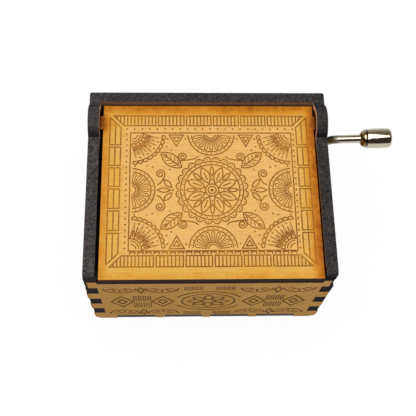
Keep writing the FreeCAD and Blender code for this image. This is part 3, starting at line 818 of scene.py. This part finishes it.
def wall_ornament(motif_places):
    """A flower with lozenges and half suns at these places on both sides of it, and groups of
    slots between them. It is laid out from the middle of the wall."""
    w = wall_cut_width
    slots_x = (near_motifs + far_motifs) / 2
    art = flower(7.2) + arc(0, 0, 9.4, 25, 155, 14, w) + arc(0, 0, 9.4, 205, 335, 14, w)
    for side in (1, -1):
        for x in motif_places:
            art += lozenge(side * x, 0, 3.0, 5.2, w) + lozenge(side * x, 0, 1.2, 2.2, w)
            for up in (1, -1):
                art += half_sun(side * x, up * 13.2, -90 * up)
        for up in (1, -1):
            art += pickets(side * slots_x, up * 3.4, 4, 4.4)
            art += lozenge(side * slots_x, up * 11.2, 0.9, 2.6, w)
            art += pickets(side * 4.2, up * 12.6, 4, 2.6)
    return moved(art, 0, wall_art_height)


def clear_of(art, x, y, radius):
    """The art without what comes near a hole."""
    return [shape for shape in art
            if all(math.hypot(px - x, py - y) > radius for px, py in shape)]


# ---- Boards ---------------------------------------------------------------------------------
FACE, EDGE, LINE, INSIDE = 0, 1, 2, 3
sharp_edge = math.radians(32)


def counter_clockwise(shape, points):
    """The shape's point numbers in the order that the face layout below needs."""
    twice_area = sum(points[i][0] * points[j][1] - points[j][0] * points[i][1]
                     for i, j in zip(shape, shape[1:] + shape[:1]))
    return shape if twice_area > 0 else shape[::-1]


def engrave(bm, thin_axis, sign, art):
    """Cuts the art into one face of a board: the face is laid out anew round the lines, whose
    floors lie deeper, with walls between. from_points and from_shapes say which of the given
    points and shapes a new spot and a new triangle come from."""
    plane = max(vert.co[thin_axis] * sign for vert in bm.verts) * sign
    faces = [face for face in bm.faces if face.normal[thin_axis] * sign > 0.999
             and abs(face.calc_center_median()[thin_axis] - plane) < 1e-6]
    corners = list({vert: None for face in faces for vert in face.verts})
    a, b = [axis for axis in (X, Y, Z) if axis != thin_axis]
    points = [(vert.co[a] / MM, vert.co[b] / MM) for vert in corners]
    number = {vert: i for i, vert in enumerate(corners)}
    shapes = [[number[vert] for vert in face.verts] for face in faces]
    face_count = len(shapes)
    for shape in art:
        shapes.append(list(range(len(points), len(points) + len(shape))))
        points += shape
    shapes = [counter_clockwise(shape, points) for shape in shapes]
    spots, _, tris, from_points, _, from_shapes = delaunay_2d_cdt(
        [Vector(point) for point in points], [], shapes, 1, 1e-4, True)
    bmesh.ops.delete(bm, geom=faces, context="FACES_ONLY")
    surface_verts, floor_verts = {}, {}

    def at(i, down):
        """The vertex at a spot, on the face or down on a line's floor."""
        known = floor_verts if down else surface_verts
        if i not in known:
            old = [n for n in from_points[i] if n < len(corners)]
            if old and not down:
                known[i] = corners[old[0]]
            else:
                place = [0.0, 0.0, 0.0]
                place[a], place[b] = spots[i][0] * MM, spots[i][1] * MM
                place[thin_axis] = plane - sign * (cut_depth * MM if down else 0.0)
                known[i] = bm.verts.new(place)
        return known[i]

    rims = {}
    for tri, origin in zip(tris, from_shapes):
        if not any(n < face_count for n in origin):
            continue
        down = any(n >= face_count for n in origin)
        made = bm.faces.new([at(i, down) for i in tri])
        made.material_index = LINE if down else FACE
        for i, j in zip(tri, tri[1:] + tri[:1]):
            rims.setdefault((min(i, j), max(i, j)), []).append(down)
    for (i, j), downs in rims.items():
        if sorted(downs) == [False, True]:
            wall = bm.faces.new([at(i, False), at(j, False), at(j, True), at(i, True)])
            wall.material_index = LINE


def board(name, node, body, thin_axis, sign, materials, art):
    """A dressed board over its solid: charred edges, ply faces and lines engraved in the face
    that points to sign along the thin axis."""
    bm = bmesh.new()
    bm.from_mesh(nodes[node].data)
    bmesh.ops.remove_doubles(bm, verts=bm.verts, dist=1e-7)
    bm.normal_update()
    for face in bm.faces:
        outward = face.normal[thin_axis] * sign
        face.material_index = FACE if outward > 0.99 else INSIDE if outward < -0.99 else EDGE
    engrave(bm, thin_axis, sign, art)
    bmesh.ops.recalc_face_normals(bm, faces=bm.faces)
    for face in bm.faces:
        face.smooth = True
    mesh = bpy.data.meshes.new(name)
    bm.to_mesh(mesh)
    bm.free()
    mesh.attributes.remove(mesh.attributes["custom_normal"])
    mesh.set_sharp_from_angle(angle=sharp_edge)
    piece = bpy.data.objects.new(name, mesh)
    bpy.context.collection.objects.link(piece)
    for finish in materials:
        mesh.materials.append(finish)
    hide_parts(node)
    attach(piece, body)


def dress(node, finish):
    """Gives a piece that keeps its own solid its one finish."""
    mesh = nodes[node].data
    mesh.materials.clear()
    mesh.materials.append(finish)


def boards():
    """The lid and the four walls with their engraving, and the plain bottom board."""
    lid_line = engraved_line("lid_engraving", lid_line_dark, lid_line_light)
    wall_line = engraved_line("wall_engraving", wall_line_dark, wall_line_light)
    # The lid's char gets a painted light level of 2.2.
    board("lid_board", "lid", "lid", Z, 1,
          [lid_face("lid_face"), charred_edge("lid_edge", Z, 0.5, 2.2), lid_line,
           scorched_and_shaded_face("lid_underside", "lid", Z, X)], lid_ornament())
    long_art = wall_ornament((near_motifs, far_motifs))
    side_art = wall_ornament((near_motifs,))
    crank_side_art = clear_of(side_art, *crank_hole, crank_hole_radius + hole_margin)
    # The last number is each wall's painted light on its char: lighter left, darker right.
    for node, axis, sign, art, level in (
            ("front_wall", Y, -1, long_art, 0.95),
            ("back_wall", Y, 1, long_art, 0.9),
            ("left_wall", X, -1, side_art, 1.15),
            ("right_wall", X, 1, crank_side_art, 0.78)):
        grain = X if axis == Y else Y
        holes = [(ear_y, ear_z, pivot_hole_radius)] if axis == X else []
        if node == "right_wall":
            holes.append((*crank_hole, crank_hole_radius))
        board(node + "_board", node, "case", axis, sign,
              [wall_face(node + "_face", node, axis, grain, holes),
               charred_edge(node + "_edge", axis, 0.12, level), wall_line,
               scorched_and_shaded_face(node + "_inside", node, axis, grain)], art)
    dress("bottom_board", tabbed_board("bottom_board_ply", "bottom_board", Z, X))


# ---- Finishes of the pieces that keep their own solids ---------------------------------------
def movement():
    """The castings, comb, drum and worm gear inside the case."""
    zinc = cast_metal("zinc_casting_skin", zinc_grey, 0.42)
    steel_comb = brushed_metal("ground_steel", comb_steel, 0.26, (4.0, 0.12, 0.12), 0.006)
    lead = cast_metal("dull_lead", lead_grey, 0.55)
    screw = brushed_metal("zinc_plate", screw_plate, 0.24, (0.4, 0.4, 0.1), 0.004)
    brass = brushed_metal("drum_brass", brass_yellow, 0.27, (0.3, 0.12, 0.3), 0.005)
    pins = brushed_metal("pin_wire", pin_steel, 0.3, (0.1, 0.1, 0.1), 0.003)
    turned_bar = brushed_metal("turned_bar", bar_steel, 0.28, (0.1, 1.5, 1.5), 0.01)
    plastic = moulded_plastic("white_moulding")
    for finish, names in (
            (zinc, ("bedplate", "drum_bearing_bracket")),
            (steel_comb, ("comb",)),
            (lead, ("comb_weights",)),
            (screw, ("bracket_screw", "mounting_screws", "comb_screws")),
            (brass, ("drum_sleeve",)),
            (pins, ("drum_pins", "drum_arbor")),
            (plastic, ("drum_end_cap", "drive_wheel")),
            (turned_bar, ("worm", "crank_shaft"))):
        for name in names:
            dress(name, finish)


def crank():
    """The bent wire and its turned knob."""
    dress("crank_rod", bright_nickel("bright_nickel_plate", bend_x=crank_bend_x))
    dress("crank_knob", bright_nickel("turned_nickel_plate", knob_groove_x))


# ---- Studio ---------------------------------------------------------------------------------
def studio_camera():
    """A camera that looks down on the lid, a little turned and rolled."""
    ahead = Vector((math.sin(camera_turn) * math.cos(camera_dip),
                    math.cos(camera_turn) * math.cos(camera_dip), -math.sin(camera_dip)))
    level = Vector((math.cos(camera_turn), -math.sin(camera_turn), 0))
    upright = level.cross(ahead)
    right = math.cos(camera_roll) * level + math.sin(camera_roll) * upright
    up = math.cos(camera_roll) * upright - math.sin(camera_roll) * level
    data = bpy.data.cameras.new("studio_camera")
    data.sensor_width = film_width
    data.lens = film_width * focal_length / picture_side
    data.clip_start = 0.01
    camera = bpy.data.objects.new("studio_camera", data)
    axes = Matrix((right, up, -ahead)).transposed().to_4x4()
    camera.matrix_world = Matrix.Translation(Vector(camera_place) * MM) @ axes
    bpy.context.collection.objects.link(camera)
    bpy.context.scene.camera = camera


def seen_directly(finish):
    """1 for rays that show the background itself: the camera's, reflections and through glass."""
    rays = [finish.node("ShaderNodeLightPath", output=name)
            for name in ("Is Camera Ray", "Is Glossy Ray", "Is Transmission Ray")]
    return rays[0].most(rays[1]).most(rays[2])


def studio_floor():
    """A white floor that keeps a faint shadow; it shades the case as a pale grey one."""
    def build(finish):
        plain = finish.node("ShaderNodeBsdfDiffuse", None, {"Color": floor_grey})
        bright = finish.node("ShaderNodeBsdfDiffuse", None, {"Color": white})
        glow = finish.node("ShaderNodeEmission", None, {"Strength": 1.0})
        shown = finish.node("ShaderNodeMixShader", None, {0: floor_shade, 1: glow, 2: bright})
        return finish.node("ShaderNodeMixShader", None,
                           {0: seen_directly(finish), 1: plain, 2: shown})
    half = floor_side / 2
    mesh = bpy.data.meshes.new("studio_floor")
    mesh.from_pydata([(-half, -half, 0), (half, -half, 0), (half, half, 0), (-half, half, 0)],
                     [], [(0, 1, 2, 3)])
    mesh.materials.append(material("studio_floor", build))
    floor = bpy.data.objects.new("studio_floor", mesh)
    floor.location.z = -floor_drop * MM
    bpy.context.collection.objects.link(floor)


def studio_room():
    """Even room light; reflections see a dark front wall and paler walls behind."""
    world = bpy.data.worlds.new("studio_room")
    bpy.context.scene.world = world
    world.use_nodes = True
    finish = Finish(world.node_tree)
    way = finish.node("ShaderNodeTexCoord", output="Generated")
    across = finish.node("ShaderNodeSeparateXYZ", None, {0: way}, Y)
    height = finish.node("ShaderNodeSeparateXYZ", None, {0: way}, Z)
    behind = finish.mix(room_back_low, room_back_high, finish.fade(height, 0.3, 0.7))
    walls = finish.mix(room_front, behind, finish.fade(across, -0.2, 0.2))
    glossy = finish.node("ShaderNodeLightPath", output="Is Glossy Ray")
    camera_ray = finish.node("ShaderNodeLightPath", output="Is Camera Ray")
    shown = finish.mix(white, walls, glossy * (1 - camera_ray))
    room = finish.node("ShaderNodeBackground", None, {"Color": white, "Strength": room_light})
    backdrop = finish.node("ShaderNodeBackground", None, {"Color": shown, "Strength": 1.0})
    mixed = finish.node("ShaderNodeMixShader", None, {0: seen_directly(finish), 1: room, 2: backdrop})
    finish.node("ShaderNodeOutputWorld", None, {"Surface": mixed})


def key_lamp():
    """One large soft lamp overhead."""
    data = bpy.data.lights.new("overhead_softbox", "AREA")
    data.shape = "SQUARE"
    data.size = key_size
    data.energy = key_light
    lamp = bpy.data.objects.new("overhead_softbox", data)
    lamp.location = key_place
    lamp.rotation_euler = (-Vector(key_place)).to_track_quat("-Z", "Y").to_euler()
    bpy.context.collection.objects.link(lamp)


studio_camera()
boards()
crank()
movement()
studio_floor()
studio_room()
key_lamp()
bpy.context.scene.view_settings.view_transform = "Standard"
